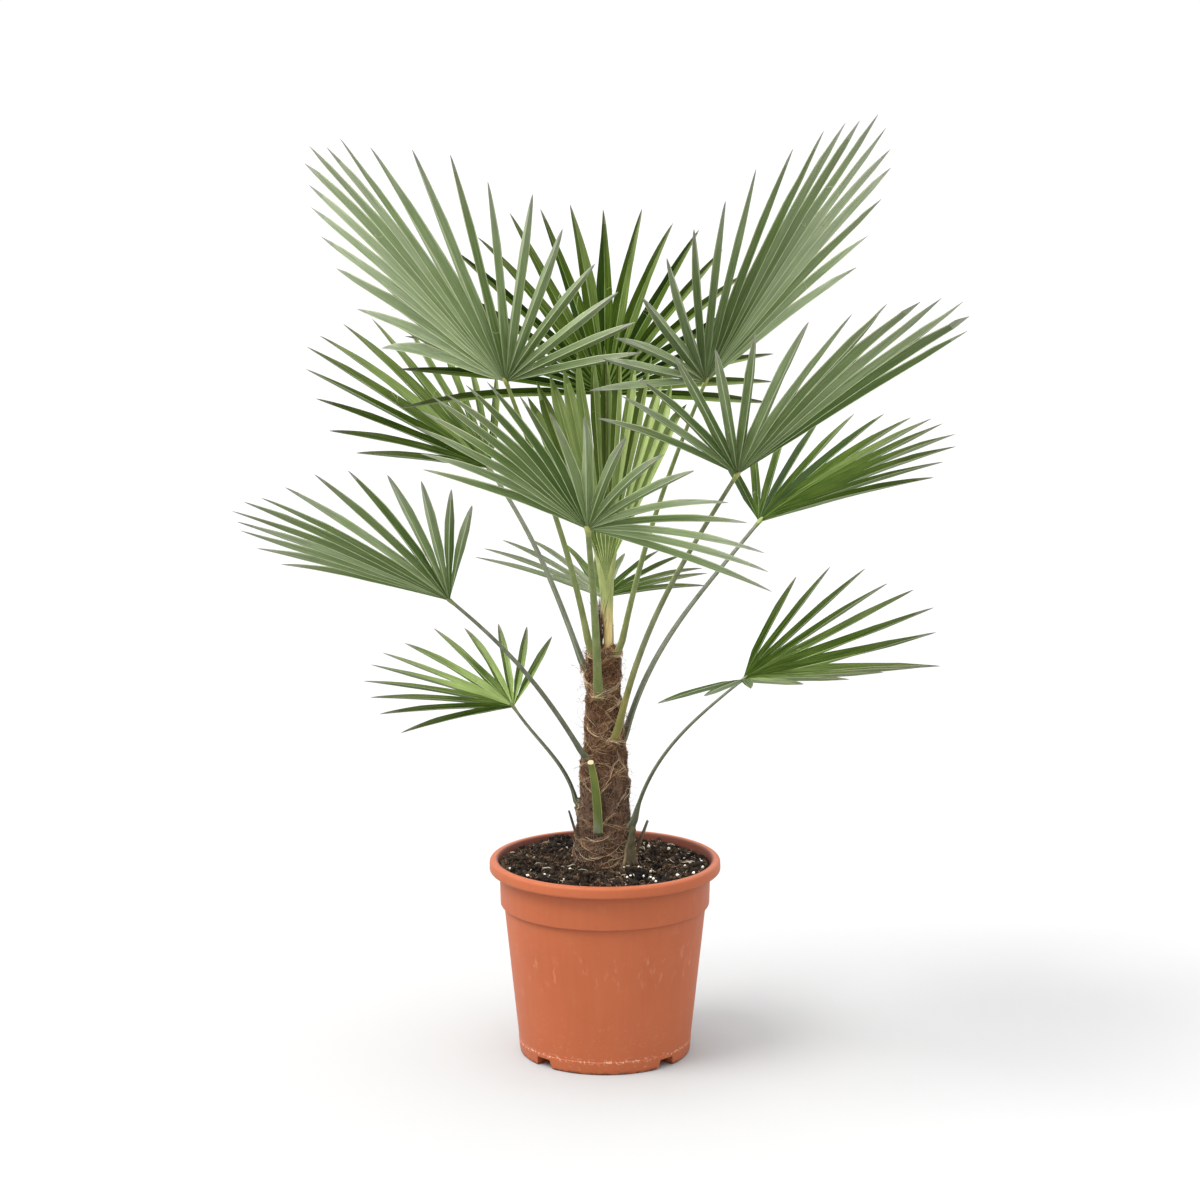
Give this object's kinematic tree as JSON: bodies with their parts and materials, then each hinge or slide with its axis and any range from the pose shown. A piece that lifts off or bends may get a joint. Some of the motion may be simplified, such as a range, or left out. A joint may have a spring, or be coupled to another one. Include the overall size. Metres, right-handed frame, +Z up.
{
  "type": "potted windmill palm",
  "caption": "Young windmill palm with pleated fan leaves on slender stalks above a fibrous trunk, standing in a round, tapered plastic nursery pot filled with soil.",
  "frame": {"origin": "centre of the pot's flat underside", "axes": "+Z up along the pot's axis and the trunk, -Y towards the side the picture shows, +X to the right in the picture"},
  "size_m": [0.7195, 0.6646, 0.9647],
  "materials": {
    "pot_plastic": "matte moulded terracotta-coloured plastic",
    "potting_soil": "crumbly dark potting soil with bark chips and white grains",
    "trunk_fibre": "matted brown palm fibre with loose hairs",
    "leaf_stalk": "smooth green, slightly waxy",
    "leaf_blade": "satin green above, greyish green below, pleated"
  },
  "bodies": {
    "root": {"front_blade": "leaf_blade", "front_petiole": "leaf_stalk", "left_back_blade": "leaf_blade", "left_back_petiole": "leaf_stalk", "left_front_blade": "leaf_blade", "left_front_petiole": "leaf_stalk", "lower_back_blade": "leaf_blade", "lower_back_petiole": "leaf_stalk", "lower_left_blade": "leaf_blade", "lower_left_petiole": "leaf_stalk", "lower_right_blade": "leaf_blade", "lower_right_petiole": "leaf_stalk", "pot": "pot_plastic", "right_back_blade": "leaf_blade", "right_back_petiole": "leaf_stalk", "right_front_blade": "leaf_blade", "right_front_petiole": "leaf_stalk", "soil": "potting_soil", "stub_front": "leaf_stalk", "stub_left": "leaf_stalk", "stub_right": "leaf_stalk", "trunk": "trunk_fibre", "upper_back_blade": "leaf_blade", "upper_back_petiole": "leaf_stalk", "upper_left_blade": "leaf_blade", "upper_left_petiole": "leaf_stalk", "upper_right_blade": "leaf_blade", "upper_right_petiole": "leaf_stalk", "young_blade": "leaf_blade", "young_stalk": "leaf_stalk"}
  },
  "joints": []
}
